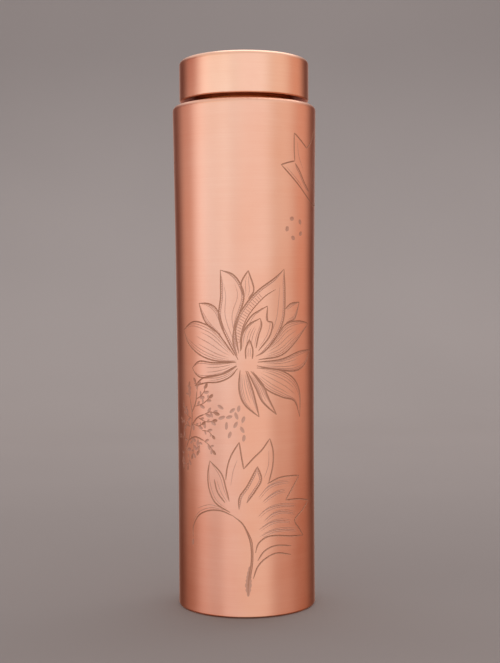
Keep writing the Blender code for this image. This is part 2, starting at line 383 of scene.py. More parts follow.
def seed_sprays(art):
    """The tangle of small leafy sprigs to the lower left of the open flower."""
    art.outline((-37.5, 81), (-33.5, 87), (-31, 94), (-30.5, 101), (-32, 108))
    art.outline((-31, 94), (-27, 98.4), (-22, 100.6))
    art.outline((-33.5, 87), (-28, 89), (-22.4, 87.6))
    art.outline((-30.5, 101), (-27.6, 106.4), (-26.6, 112))
    sprigs = (
        (((-26.6, 112), (-26.2, 114.6), (-27.8, 117)), 3, 2.6),
        (((-26.8, 108), (-22.6, 111), (-20.8, 114.4)), 4, 2.8),
        (((-28, 104.4), (-22.6, 106), (-18.2, 109.4)), 5, 2.8),
        (((-22, 100.6), (-18.4, 102), (-15.2, 101.4)), 4, 3.0),
        (((-26, 98.8), (-20.6, 97), (-16.4, 97.6)), 4, 2.8),
        (((-30.6, 96), (-26.2, 94.6), (-23, 95.8)), 4, 2.6),
        (((-22.4, 87.6), (-19, 85.4), (-16.6, 82.4)), 4, 2.6),
        (((-26.4, 88.6), (-25.2, 84.6), (-26.2, 81.6)), 4, 2.6),
        (((-32, 90), (-29.4, 84), (-30.6, 79.4)), 5, 2.8),
        (((-32, 108), (-33.4, 111), (-32.6, 114.6)), 4, 2.8),
        (((-31, 98), (-35.4, 100), (-38, 104.4)), 5, 2.8),
        (((-31.6, 94), (-36, 94.6), (-40.4, 97)), 4, 2.8),
        (((-33.6, 86.4), (-38.4, 88.6), (-42.4, 88)), 4, 2.8),
        (((-37.5, 81), (-40, 77.6), (-39.2, 73.6)), 4, 2.6),
        (((-36, 83.4), (-33.4, 78.6), (-34.4, 73.4)), 4, 2.6),
        (((-23.4, 92.6), (-19.4, 92.2), (-17, 90)), 3, 2.4),
    )
    for number, (points, leaves, size) in enumerate(sprigs):
        art.sprig(points, leaves, size, first_side=1 if number % 2 else -1)
    # Loose leaves between the tangle and the hanging petals
    for centre, length, bearing in (
        ((-12.6, 104.6), 3.6, 150), ((-12, 99.4), 3.8, 20), ((-6.6, 103), 3.4, 40), ((-3.4, 104), 3.2, 80),
        ((-8.2, 99.8), 3.4, 15), ((-4.6, 100.4), 3.8, 110), ((-1.2, 98.6), 3.4, 70), ((-9.6, 95.4), 3.8, 85),
        ((-5, 96), 3.6, 60), ((-1.8, 93.6), 3.6, 120), ((-8, 91), 3.6, 70), ((-1, 89.4), 3.4, 80),
    ):
        art.blob(centre, length, 1.7, bearing)


def long_stemmed_flower(art):
    """The tall flower in profile that rises from near the foot."""
    # Stem, swelling at the foot, and the tendril that curls away to the left
    art.outline((0.6, 11.4), (0.9, 19), (2.2, 27), (2.4, 33), (1.6, 39), (-1.6, 46.6), (-6.6, 51))
    art.stroke(smooth(((1.6, 19), (2.9, 27), (3.1, 33), (2.4, 39), (-0.8, 46))), HAIRLINE * 1.3)
    for number, width in enumerate((1.6, 2.9, 3.4, 3.2, 2.7, 2.1, 1.5)):
        art.blob((0.7 + 0.02 * number * number, 12.8 + 1.9 * number), 3.6, width, 88)
    art.outline((-6.6, 51), (-12.8, 53.2), (-19.6, 52.8), (-26, 49.8), (-30, 44), (-30.4, 38.6))
    art.shading((-10, 53.6), (-18, 54.4), (-25.4, 51.8), (-30.4, 46.4))
    art.shading((-12, 54.6), (-19, 55.8), (-27, 53.4))
    art.blob((-30.4, 36), 3.2, 1.6, 80)
    # Petals of the profile, left to right
    art.petal(
        ((-8, 52.6), (-15.8, 57), (-19.4, 64), (-20, 71), (-18.8, 77.8)),
        ((-8.4, 58), (-10, 64), (-12.4, 71.6), (-18.8, 77.8)),
        rim=(0.3,),
    )
    art.outline((-10.6, 57.4), (-14.6, 62.4), (-16.4, 68.8))
    art.shading((-9.4, 57.6), (-12.8, 62.6), (-15, 68.6))
    art.outline((-10.2, 68.4), (-9.4, 74.6), (-7.4, 80.6), (-3.3, 87.4))
    art.outline((-3.3, 87.4), (-2.2, 80), (-1.2, 74.2))
    art.outline((-1.2, 74.2), (3.8, 79.6), (8, 83.6), (12, 89))
    art.outline((12, 89), (13.7, 82.6), (13.4, 75), (11.2, 66.8))
    art.outline((10.6, 66.6), (17, 69.2), (23.4, 69.6), (29.8, 69.2))
    art.outline((29.8, 69.2), (25.4, 64), (20.6, 57.8))
    art.outline((20.6, 57.8), (29, 57.4), (38.6, 55.6))
    art.outline((38.6, 55.6), (32.4, 51.4), (26.4, 47.2), (29.4, 42.8), (33, 38.6))
    art.outline((33, 38.6), (24, 39.4), (15, 40.6), (9.6, 40), (5.8, 37), (4.4, 32.6))
    art.outline((3.2, 19.8), (5.4, 25.6), (9.4, 29.6), (15.4, 31.8), (23.8, 30.2))
    art.outline((5.4, 28.6), (9, 33.4), (15, 35.6), (24, 34.6))
    # The inner petal, and the folds that spread from the flower's heart
    art.band(((-3.6, 54), (-3.4, 60), (0.6, 66), (5.6, 75.4)), RIGHT)
    art.band(((0.2, 57.4), (4.6, 63.4), (7.6, 69), (5.6, 75.4)), LEFT)
    art.shading((9, 69.6), (11.2, 76), (11.4, 83))
    art.shading((-7.6, 66), (-6.4, 73), (-4.2, 79))
    folds = (
        ((6, 60), (10.4, 64.6), (15.6, 66.6), (22.8, 67)),
        ((8, 57.6), (11.6, 60.2), (15.4, 62), (20.4, 62.6)),
        ((5.6, 50.4), (10.4, 54), (17.4, 55.4), (27, 54.4)),
        ((8.6, 48), (13, 51.2), (18.6, 52.2), (26.4, 50.6)),
        ((6.2, 44), (11.6, 47), (17.4, 47.8), (23.6, 46.6)),
        ((6.6, 40.6), (13, 43), (20, 43.2), (27.6, 42)),
    )
    for fold in folds:
        art.stroke(smooth(fold), GROOVE * 0.8, GROOVE_DEPTH * 0.5, taper=0.4)
        for step in (-0.8, 0.8):
            art.hair(smooth([(s + 0.6, z + step) for s, z in fold]))


def side_flower(art):
    """The half-open flower high on the right, of which the front shows only two petals."""
    art.outline((36, 233.2), (31.4, 236.2), (26.2, 239.8))
    art.outline((26.2, 239.8), (26.2, 232), (26.6, 226.2))
    art.outline((26.6, 226), (22.4, 225), (18.3, 223.7))
    art.outline((18.3, 223.7), (24.9, 218), (34.7, 210.3), (41, 206.6))
    art.band(((26.8, 225), (30.4, 221), (34, 216), (39, 211.6)), RIGHT)
    art.shading((21, 223), (26, 218.8), (32.4, 213.6))
    art.shading((28.4, 236), (29.4, 229), (33, 222))
    for points in (
        ((36, 233.2), (41, 236.6), (46, 243.4)),
        ((46, 243.4), (49, 235), (50.4, 227)),
        ((50.4, 227), (57, 228.4), (63, 227)),
        ((63, 227), (58, 220.6), (52, 215.4)),
        ((52, 215.4), (57, 210), (60, 203.4)),
        ((60, 203.4), (52, 205.4), (46, 205), (41, 206.6)),
    ):
        art.outline(*points)
    for tip in ((45, 238), (53, 224), (55.6, 211), (46, 209)):
        art.shading((41, 216), ((41 + tip[0]) / 2 + 1.4, (216 + tip[1]) / 2), tip)
    art.floret((26.8, 192.8), 5.0, 2.7, turn=41)


def drawing():
    """The strokes of one side; repeated_round sets them on the front and on the back."""
    art = Drawing()
    lotus(art)
    seed_sprays(art)
    long_stemmed_flower(art)
    side_flower(art)
    return art.strokes


# ---------------------------------------------------------------- copper and other finishes


class Reading:
    """A value that changes over a surface: a shader socket, which takes part in sums if it's a number."""

    def __init__(self, recipe, socket):
        self.recipe = recipe
        self.socket = socket

    def maths(self, operation, *others):
        return self.recipe.maths(operation, self, *others)

    def __add__(self, other):
        return self.maths("ADD", other)

    __radd__ = __add__

    def __sub__(self, other):
        return self.maths("SUBTRACT", other)

    def __rsub__(self, other):
        return self.recipe.maths("SUBTRACT", other, self)

    def __mul__(self, other):
        return self.maths("MULTIPLY", other)

    __rmul__ = __mul__

    def __pow__(self, other):
        return self.maths("POWER", other)

    def between(self, low, high):
        """0 below low and 1 above high, with a smooth change between them."""
        return self.recipe.node(
            "ShaderNodeMapRange",
            {"interpolation_type": "SMOOTHSTEP"},
            {"Value": self, "From Min": low, "From Max": high},
        )


class Recipe:
    """A tree of shader nodes, and the readings that it is worked out from."""

    def __init__(self, owner, shader):
        owner.use_nodes = True
        self.tree = owner.node_tree
        self.shader = self.tree.nodes[shader]

    def node(self, kind, settings=None, inputs=None, output=0):
        made = self.tree.nodes.new(kind)
        for name, value in (settings or {}).items():
            setattr(made, name, value)
        for name, value in (inputs or {}).items():
            self.feed(made.inputs[name], value)
        return Reading(self, made.outputs[output])

    def maths(self, operation, *values):
        return self.node("ShaderNodeMath", {"operation": operation}, dict(enumerate(values)))

    def feed(self, socket, value):
        if isinstance(value, Reading):
            self.tree.links.new(value.socket, socket)
        else:
            socket.default_value = value

    def set(self, **values):
        for name, value in values.items():
            self.feed(self.shader.inputs[name.replace("_", " ")], value)

    def place(self):
        """The point's own x, y and z in metres."""
        return self.node("ShaderNodeTexCoord", output="Object")

    def direction(self):
        """The way that a ray of light or sight runs, for the light of the room."""
        return self.node("ShaderNodeTexCoord", output="Generated")

    def parts(self, vector):
        return [self.node("ShaderNodeSeparateXYZ", inputs={0: vector}, output=axis) for axis in "XYZ"]

    def vector(self, x, y, z):
        return self.node("ShaderNodeCombineXYZ", inputs={0: x, 1: y, 2: z})

    def grain(self, vector, scale=1.0, detail=2.0, distortion=0.0):
        inputs = {"Vector": vector, "Scale": scale, "Detail": detail, "Distortion": distortion}
        return self.node("ShaderNodeTexNoise", inputs=inputs, output="Fac")

    def blend(self, share, first, second):
        """From the first colour to the second; sockets 6 and 7 are the Mix node's colours."""
        inputs = {"Factor": share, 6: first, 7: second}
        return self.node("ShaderNodeMix", {"data_type": "RGBA"}, inputs, output=2)

    def relief(self, height, distance):
        self.set(Normal=self.node("ShaderNodeBump", inputs={"Height": height, "Distance": distance}))


class Finish(Recipe):
    """A node material for one finish."""

    def __init__(self, name):
        self.material = bpy.data.materials.new(name)
        super().__init__(self.material, "Principled BSDF")


def colour(red, green, blue):
    return (red, green, blue, 1.0)


def lathe_grain(finish, along, across, detail=3.0):
    """Streaks that run round the axis: long in the turning direction, fine across it, on walls
    and on flat ends alike."""
    x, y, z = finish.parts(finish.place())
    radius = (x * x + y * y) ** 0.5
    return finish.grain(finish.vector(x * along, y * along, (z + radius) * across), detail=detail)


# Painted shade: a dark red-brown mixed into the copper's colour in the crevice between the shoulder and the
# cap's rim
CREVICE_PAINTED_SHADE = colour(0.50, 0.125, 0.035)
PAINTED_SHADE_EDGE = (31.5 * MM, 35.0 * MM)  # radii between which the painted shade under the cap fades out


def painted_shade_under_cap(finish):
    """1 in the crevice between the shoulder and the cap's rim, where shade is painted into the copper's
    colour, and 0 outside it.
    """
    x, y, z = finish.parts(finish.place())
    radius = (x * x + y * y) ** 0.5
    height = z.between(SHOULDER_TOP - 0.5 * MM, SHOULDER_TOP) * (1 - z.between(CAP_RIM, CAP_RIM + 0.7 * MM))
    return height * radius.between(NECK_ROOT - 0.6 * MM, NECK_ROOT) * (1 - radius.between(*PAINTED_SHADE_EDGE))


def brushed_copper(name, warm, pale, roughness=0.34):
    """Satin copper, brushed round the axis and lightly handled."""
    finish = Finish(name)
    fine = lathe_grain(finish, along=55, across=5200)
    broad = lathe_grain(finish, along=9, across=420, detail=2.0)
    cloud = finish.grain(finish.place(), scale=26, detail=3, distortion=0.4)
    shade = (broad * 0.12 + fine * 0.28 + cloud * 0.6).between(0.25, 0.75)
    # Painted shade darkens the colour in the crevice under the cap
    finish.set(Base_Color=finish.blend(painted_shade_under_cap(finish), finish.blend(shade, warm, pale), CREVICE_PAINTED_SHADE))
    finish.set(Metallic=1.0)
    finish.set(Roughness=(fine - 0.5) * 0.05 + (cloud - 0.5) * 0.08 + (broad - 0.5) * 0.02 + roughness)
    finish.set(Anisotropic=0.5)
    finish.set(Anisotropic_Rotation=0.25)
    finish.relief(fine * 0.8 + broad * 0.2, 0.000006)
    return finish.material


def etched_copper(name, dull, pale, roughness=0.5):
    """The floor of an engraved line: dull, brownish and slightly rough."""
    finish = Finish(name)
    speck = finish.grain(finish.place(), scale=3000, detail=2)
    finish.set(Base_Color=finish.blend(speck, dull, pale))
    finish.set(Metallic=0.85)
    finish.set(Roughness=roughness + speck * 0.15)
    return finish.material


def plain_copper(name, warm, pale, roughness=0.4):
    """Copper as pressed or turned, with a first dulling."""
    finish = Finish(name)
    turned_lines = lathe_grain(finish, along=30, across=2600)
    cloud = finish.grain(finish.place(), scale=60, detail=4, distortion=0.6)
    copper = finish.blend(cloud.between(0.3, 0.7), warm, pale)
    # Painted shade darkens the colour in the crevice under the cap
    finish.set(Base_Color=finish.blend(painted_shade_under_cap(finish), copper, CREVICE_PAINTED_SHADE))
    finish.set(Metallic=1.0)
    finish.set(Roughness=roughness + (cloud - 0.5) * 0.16 + (turned_lines - 0.5) * 0.08)
    finish.set(Anisotropic=0.4)
    finish.set(Anisotropic_Rotation=0.25)
    finish.relief(turned_lines, 0.00002)
    return finish.material


def brazing_filler():
    finish = Finish("brazing_filler")
    ripple = finish.grain(finish.place(), scale=420, detail=3, distortion=0.8)
    finish.set(Base_Color=finish.blend(ripple, colour(0.66, 0.50, 0.30), colour(0.83, 0.72, 0.50)))
    finish.set(Metallic=1.0)
    finish.set(Roughness=0.34 + ripple * 0.25)
    finish.relief(ripple, 0.00008)
    return finish.material


def white_silicone():
    finish = Finish("white_silicone")
    haze = finish.grain(finish.place(), scale=300, detail=3)
    finish.set(Base_Color=finish.blend(haze, colour(0.74, 0.73, 0.70), colour(0.84, 0.83, 0.80)))
    finish.set(Roughness=0.48 + haze * 0.12)
    finish.set(Subsurface_Weight=0.15)
    finish.relief(haze, 0.00002)
    return finish.material


def sweep_paper():
    finish = Finish("sweep_paper")
    fibre = finish.grain(finish.place(), scale=900, detail=3)
    cloud = finish.grain(finish.place(), scale=3, detail=2)
    tone = (fibre * 0.25 + cloud * 0.75).between(0.2, 0.8)
    paper = finish.blend(tone, colour(0.30, 0.270, 0.262), colour(0.324, 0.291, 0.282))
    x, y, z = finish.parts(finish.place())
    # Painted shade: the paper is up to a fifth darker on the floor towards the front and high up the wall,
    # and keeps its tone at the foot of the bend
    painted_shade_away_from_bend = 1 - y.between(0.0, 0.9) * (1 - z.between(0.05, 0.8))
    finish.set(Base_Color=finish.blend(painted_shade_away_from_bend * 0.2, paper, colour(0.0, 0.0, 0.0)))
    finish.set(Roughness=0.85 + fibre * 0.1)
    return finish.material


# ---------------------------------------------------------------- shapes


def roll(centre_radius, centre_height, radius, start, end, steps=ROLL_STEPS):
    """A round edge in (radius, height), from one angle in degrees to another."""
    turn = np.radians(np.linspace(start, end, steps + 1))
    return [
        (centre_radius + radius * math.cos(angle), centre_height + radius * math.sin(angle))
        for angle in turn
    ]


def sheet(outline, thickness):
    """The outline of sheet metal, closed by its copy set off to the left of its direction."""
    points = [Vector(point) for point in outline]
    copy = []
    for index, point in enumerate(points):
        normals = []
        for first, second in ((index - 1, index), (index, index + 1)):
            if 0 <= first and second < len(points):
                along = (points[second] - points[first]).normalized()
                normals.append(Vector((-along.y, along.x)))
        middle = sum(normals, Vector((0.0, 0.0))).normalized()
        copy.append(point + middle * thickness / middle.dot(normals[0]))
    return [tuple(point) for point in points + copy[::-1]]


def wall_radius(height):
    """Outside radius of the body, which flares from the waist to the foot and to the shoulder."""
    below = np.maximum(WAIST_HEIGHT - height, 0) / WAIST_HEIGHT
    above = np.maximum(height - WAIST_HEIGHT, 0) / (SHOULDER_TOP - WAIST_HEIGHT)
    to_foot = (FOOT_RADIUS - WAIST_RADIUS) * below**WAIST_CURVE
    return WAIST_RADIUS + to_foot + (SHOULDER_RADIUS - WAIST_RADIUS) * above**WAIST_CURVE


def around(angle, radius, height):
    """A point of the bottle: angle is round from the front line, to the right."""
    return (radius * math.sin(angle), -radius * math.cos(angle), height)


def to_scene(name, data):
    made = bpy.data.objects.new(name, data)
    bpy.context.scene.collection.objects.link(made)
    return made


def to_mesh(name, shape):
    mesh = bpy.data.meshes.new(name)
    shape.to_mesh(mesh)
    shape.free()
    return mesh


def add_belt(shape, ring, following):
    """The faces between two rings of points."""
    belt = []
    for number in range(COLUMNS):
        after = (number + 1) % COLUMNS
        belt.append(shape.faces.new((ring[number], ring[after], following[after], following[number])))
    return belt


def add_piece(name, mesh, body, slot, *finishes):
    for finish in finishes:
        mesh.materials.append(finish)
    piece = to_scene(name, mesh)
    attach(piece, body)
    return piece


def soften(mesh, angle=30):
    mesh.shade_smooth()
    mesh.set_sharp_from_angle(angle=math.radians(angle))


def turned(name, section, body, slot, finish, ripple=None):
    """A piece turned round the axis from its closed section, or from one that starts and ends on
    the axis.  ripple moves each point by its own small amount, for poured or run metal."""
    on_axis = section[0][0] < ON_AXIS
    shape = bmesh.new()
    points = [shape.verts.new((0.0, -radius, height)) for radius, height in section]
    edges = [shape.edges.new(pair) for pair in zip(points, points[1:])]
    if not on_axis:
        edges.append(shape.edges.new((points[-1], points[0])))
    bmesh.ops.spin(
        shape, geom=points + edges, axis=(0, 0, 1), cent=(0, 0, 0), angle=math.tau,
        steps=COLUMNS, use_merge=True,
    )
    bmesh.ops.remove_doubles(shape, verts=shape.verts, dist=SAME_POINT)
    if ripple:
        for vertex in shape.verts:
            vertex.co += ripple(vertex.co)
    bmesh.ops.recalc_face_normals(shape, faces=shape.faces)
    mesh = to_mesh(name, shape)
    soften(mesh)
    piece = add_piece(name, mesh, body, slot, finish)
    even = piece.modifiers.new("even_shading", "WEIGHTED_NORMAL")
    even.keep_sharp = True
    even.weight = 100
    return piece


# ---------------------------------------------------------------- the engraved body

# The order of the body's finishes
SATIN, ETCHED, INSIDE, SCRATCHED = range(4)


def groove_depths(points, strokes):
    """How deep the cutter has gone at each point of the flat wall."""
    depths = np.zeros(len(points))
    for run, halves, deep in strokes:
        reach = halves.max()
        low = run.min(axis=0) - reach
        high = run.max(axis=0) + reach
        near = np.nonzero(((points > low) & (points < high)).all(axis=1))[0]
        if not len(near):
            continue
        place = points[near][:, None, :]
        start = run[:-1][None]
        along = (run[1:] - run[:-1])[None]
        length = (along**2).sum(axis=2)
        share = np.clip(((place - start) * along).sum(axis=2) / length, 0, 1)
        gap = np.linalg.norm(place - start - along * share[..., None], axis=2)
        half = halves[:-1] + (halves[1:] - halves[:-1]) * share
        floor = deep[:-1] + (deep[1:] - deep[:-1]) * share
        cut = (floor * np.clip(1 - gap / half, 0, 1)).max(axis=1)
        depths[near] = np.maximum(depths[near], cut)
    return depths


def repeated_round(strokes, low, high):
    """The strokes, again half a turn round, and again where they cross the seam."""
    copies = []
    for run, halves, deep in strokes:
        for half_turns in range(-2, 4):
            moved = run + np.array([ROUND / 2 * half_turns, 0.0])
            if moved[:, 0].max() > low and moved[:, 0].min() < high:
                copies.append((moved, halves, deep))
    return copies


def cut_flat_wall(low, high):
    """The flat wall cut into triangles along every groove and every column.  Returns its points
    (round, up), their depths, the triangles, and the finish that each triangle takes."""
    column = ROUND / COLUMNS
    margin = 3  # columns past the seam on either side
    first = -COLUMNS // 4 - margin
    last = first + COLUMNS + 2 * margin
    heights = np.linspace(low, high, WALL_ROWS)
    strokes = repeated_round(drawing(), first * column, last * column)

    points = []
    edges = []

    def cut_along(track):
        start = len(points)
        points.extend(Vector(point) for point in track)
        edges.extend((start + step, start + step + 1) for step in range(len(track) - 1))

    for number in range(first, last + 1):
        cut_along([(number * column, height) for height in heights])
    for row in (0, WALL_ROWS - 1):
        for number in range(last - first):
            edges.append((number * WALL_ROWS + row, (number + 1) * WALL_ROWS + row))
    for run, halves, _ in strokes:
        side = left_of(run) * halves[:, None]
        for track in (run + side, run, run - side):
            cut_along(track)

    flat, _, faces, *_ = delaunay_2d_cdt(points, edges, [], 0, 0.001, False)
    flat = np.array([tuple(point) for point in flat])
    faces = np.array([tuple(face) for face in faces])
    middles = flat[faces].mean(axis=1)
    seam = (first + margin) * column
    kept = (middles[:, 0] > seam) & (middles[:, 0] < seam + ROUND)
    faces = faces[kept]
    middles = middles[kept]
    heavy = [stroke for stroke in strokes if stroke[2].max() > 1.5 * HAIRLINE_DEPTH]
    least = 0.15 * HAIRLINE_DEPTH
    light_cut = np.where(groove_depths(middles, strokes) > least, SCRATCHED, SATIN)
    finishes = np.where(groove_depths(middles, heavy) > least, ETCHED, light_cut)
    return flat, groove_depths(flat, strokes), faces, finishes


def engraved_body(satin, etched, inside, scratched):
    """Wall, shoulder and rolled foot of the body in one skin, with the drawing cut into it."""
    wall_low = FOOT_ROLL
    wall_high = SHOULDER_TOP - SHOULDER_ROLL
    flat, depths, triangles, finishes = cut_flat_wall(wall_low / MM, wall_high / MM)

    shape = bmesh.new()
    used = np.unique(triangles)
    made = {}
    for index in used:
        height = flat[index][1] * MM
        radius = wall_radius(height) - depths[index] * MM
        made[index] = shape.verts.new(around(flat[index][0] / FLAT_RADIUS, radius, height))
    for triangle, finish in zip(triangles, finishes):
        face = shape.faces.new([made[index] for index in triangle])
        face.material_index = int(finish)

    # Shoulder, inner skin and foot, ring by ring from the wall's top edge round to its bottom edge
    foot_centre = wall_radius(wall_low) - FOOT_ROLL
    shoulder_centre = wall_radius(wall_high) - SHOULDER_ROLL
    outer = roll(shoulder_centre, wall_high, SHOULDER_ROLL, 0, 90)
    outer.append((NECK_LAND + JOINT_GAP + 0.4 * MM, SHOULDER_TOP))
    outer.append((NECK_LAND + JOINT_GAP, SHOULDER_TOP - 0.15 * MM))
    inner = [(NECK_LAND + JOINT_GAP, SHOULDER_TOP - COPPER_SHEET)]
    inner += roll(shoulder_centre, wall_high, SHOULDER_ROLL - COPPER_SHEET, 90, 0)
    for height in np.linspace(wall_high, wall_low, SKIN_ROWS)[1:-1]:
        inner.append((wall_radius(height) - COPPER_SHEET, height))
    inner += roll(foot_centre, wall_low, FOOT_ROLL - COPPER_SHEET, 0, -90)
    inner.append((FOOT_LIP, COPPER_SHEET))
    foot = [(FOOT_LIP, 0.0)]
    foot += roll(foot_centre, wall_low, FOOT_ROLL, -90, 0)
    section = outer + inner + foot
    rings = [[shape.verts.new(around(angle, *point)) for angle in ANGLES] for point in section]
    for index, (ring, following) in enumerate(zip(rings, rings[1:])):
        inside_skin = len(outer) <= index + 1 <= len(outer) + len(inner)
        for face in add_belt(shape, ring, following):
            face.material_index = INSIDE if inside_skin else SATIN
    bmesh.ops.remove_doubles(shape, verts=shape.verts, dist=SAME_WALL_POINT)
    bmesh.ops.recalc_face_normals(shape, faces=shape.faces)
    mesh = to_mesh("engraved_body", shape)
    soften(mesh)
    true_normals(mesh, wall_low, wall_high)
    return add_piece("engraved_body", mesh, "bottle", "body_copper", satin, etched, inside, scratched)


def numbers(items, name, kind=int, size=1):
    """One number, or one row of them, from each vertex, corner or face of a mesh."""
    values = np.empty(len(items) * size, kind)
    items.foreach_get(name, values)
    return values.reshape(-1, size) if size > 1 else values


def true_normals(mesh, wall_low, wall_high):
    """Shades the outside as its exact curve wherever it isn't cut, whatever way the triangles run."""
    places = numbers(mesh.vertices, "co", float, 3)[numbers(mesh.loops, "vertex_index")]
    sides = numbers(mesh.polygons, "loop_total")
    skins = np.repeat(numbers(mesh.polygons, "material_index"), sides)
    flats = np.repeat(numbers(mesh.polygons, "normal", float, 3), sides, axis=0)

    radius = np.hypot(places[:, 0], places[:, 1])
    height = np.clip(places[:, 2], wall_low, wall_high)
    slope = (wall_radius(height + MM) - wall_radius(height - MM)) / (2 * MM)
    edge = np.where(places[:, 2] < (wall_low + wall_high) / 2, FOOT_ROLL, SHOULDER_ROLL)
    lean = np.arcsin(np.clip((places[:, 2] - height) / edge, -1, 1)) - np.arctan(slope)
    outward = places * np.array([1, 1, 0]) / radius[:, None]
    exact = outward * np.cos(lean)[:, None] + np.outer(np.sin(lean), (0, 0, 1))
    outside = np.hypot(radius - wall_radius(height) + edge, places[:, 2] - height) > edge - 0.2 * MM
    outside &= (skins != INSIDE) & (radius > FOOT_LIP + 0.5 * MM)
    normals = np.zeros((len(mesh.loops), 3))
    normals[outside] = np.where((skins == SATIN)[:, None], exact, flats)[outside]
    mesh.normals_split_custom_set(normals.tolist())


# ---------------------------------------------------------------- base, neck and cap


def base_plate(finish):
    top = PLATE_RECESS + PLATE_SHEET
    rise = BASE_TOP - top
    radius = wall_radius(top + FILLER_LEG) - COPPER_SHEET - JOINT_GAP
    outline = [(0.0, BASE_TOP), (PANEL_RADIUS - MM, BASE_TOP)]
    for share in np.linspace(0, 1, 13):
        panel = PANEL_RADIUS + (PANEL_FOOT - PANEL_RADIUS) * share
        outline.append((panel, top + rise * (1 + math.cos(math.pi * share)) / 2))
    outline += roll(radius - PLATE_EDGE, top - PLATE_EDGE, PLATE_EDGE, 90, 0)
    outline.append((radius, COPPER_SHEET + JOINT_GAP))
    return turned("base_plate", sheet(outline, -PLATE_SHEET), "bottle", "base_copper", finish)


def run_metal(amount, size):
    """Ripple for filler that ran in hot and set: a smooth wander of the surface."""

    def ripple(place):
        wander = noise.noise(place * size)
        outward = Vector((place.x, place.y, 0)).normalized()
        return outward * wander * amount + Vector((0, 0, wander * amount))

    return ripple


def base_filler(finish):
    top = PLATE_RECESS + PLATE_SHEET
    corner = wall_radius(top + FILLER_LEG) - COPPER_SHEET - JOINT_GAP - PLATE_EDGE
    section = roll(corner, top - PLATE_EDGE, PLATE_EDGE + 0.5 * JOINT_GAP, 90, 35)
    section.append((section[-1][0], top + FILLER_LEG))
    section += roll(corner, top + FILLER_LEG, FILLER_LEG - 0.5 * JOINT_GAP, 0, -88)
    return turned("base_filler", section, "bottle", "braze", finish, run_metal(0.06 * MM, 300))


def neck_filler(finish):
    top = SHOULDER_TOP - COPPER_SHEET - 0.1 * MM
    inner = FLANGE_RADIUS + 0.1 * MM
    section = [(inner, top)]
    section += roll(inner + 1.25 * MM, top - 1.25 * MM, 1.1 * MM, 180, 90)
    section.append((inner + 1.25 * MM, top))
    return turned("neck_filler", section[::-1], "bottle", "braze", finish, run_metal(0.03 * MM, 400))


def ridge_rise(angle, height, start):
    """How far the thread stands out of its wall at a place, from 0 to 1: a ridge with sloping
    flanks and soft corners, running up to the right, that fades in and out at its ends."""
    rise = 0.0
    for lap in range(-1, 3):
        turns = angle / math.tau + lap
        if not 0.0 <= turns <= RIDGE_TURNS:
            continue
        off = abs(height - start - PITCH * turns)
        flank = min(1.0, max(0.0, (RIDGE_FOOT - off) / (RIDGE_FOOT - RIDGE_CREST)))
        ends = min(1.0, turns / RUN_OUT_TURNS, (RIDGE_TURNS - turns) / RUN_OUT_TURNS)
        rise = max(rise, flank * flank * (3 - 2 * flank) * math.sin(ends * math.pi / 2))
    return rise


def threaded(name, before, wall, stand, low, high, start, after, body, slot, finish):
    """A turned piece one stretch of which, between two heights, carries a thread.  The section
    runs down through before, down the threaded wall, and through after back to its start."""
    rows = np.linspace(high, low, round((high - low) / THREAD_ROW) + 1)
    section = [(*point, 0) for point in before]
    section += [(wall, height, stand) for height in rows]
    section += [(*point, 0) for point in after]
    shape = bmesh.new()
    rings = []
    for plain_radius, height, reach in section:
        ring = []
        for angle in ANGLES:
            radius = plain_radius + (reach * ridge_rise(angle, height, start) if reach else 0)
            ring.append(shape.verts.new((radius * math.cos(angle), radius * math.sin(angle), height)))
        rings.append(ring)
    if before[0][0] > ON_AXIS:
        rings.append(rings[0])
    for ring, following in zip(rings, rings[1:]):
        add_belt(shape, ring, following)
    bmesh.ops.remove_doubles(shape, verts=shape.verts, dist=SAME_POINT)
    bmesh.ops.dissolve_degenerate(shape, edges=shape.edges, dist=SAME_POINT)
    bmesh.ops.recalc_face_normals(shape, faces=shape.faces)
    mesh = to_mesh(name, shape)
    soften(mesh, angle=40)
    piece = add_piece(name, mesh, body, slot, finish)
    even = piece.modifiers.new("even_shading", "WEIGHTED_NORMAL")
    even.keep_sharp = True
    return piece


def threaded_neck(finish):
    lip = (NECK_ROOT - NECK_BORE) / 2
    land_top = SHOULDER_TOP + LAND_HEIGHT
    flange_top = NECK_LOW + FLANGE_SHEET
    before = [(NECK_BORE, NECK_LOW + 0.3 * MM)]
    before += roll(NECK_BORE + lip, NECK_HIGH - lip, lip, 180, 0, steps=14)
    after = [(NECK_ROOT, land_top + 0.6 * MM)]
    after += roll(NECK_LAND - 0.4 * MM, land_top - 0.4 * MM, 0.4 * MM, 80, 0, steps=5)
    after += [
        (NECK_LAND, flange_top),
        (FLANGE_RADIUS, flange_top),
        (FLANGE_RADIUS, NECK_LOW),
        (NECK_BORE + 0.3 * MM, NECK_LOW),
    ]
    return threaded(
        "threaded_neck", before, NECK_ROOT, RIDGE_HEIGHT, land_top + 0.8 * MM, NECK_HIGH - 2 * lip,
        NECK_RIDGE_START, after, "bottle", "neck_copper", finish,
    )


def cap_cup(finish):
    outline = [(0.0, CAP_TOP)]
    outline += roll(CAP_RADIUS - CAP_ROLL, CAP_TOP - CAP_ROLL, CAP_ROLL, 90, 0, steps=12)
    for height in np.linspace(CAP_TOP - CAP_ROLL, CAP_RIM + CAP_RIM_ROLL, 6)[1:-1]:
        outline.append((CAP_RADIUS, height))
    outline += roll(CAP_RADIUS - CAP_RIM_ROLL, CAP_RIM + CAP_RIM_ROLL, CAP_RIM_ROLL, 0, -90)
    outline.append((CAP_LIP, CAP_RIM))
    return turned("cap_cup", sheet(outline, -COPPER_SHEET), "cap", "cap_copper", finish)


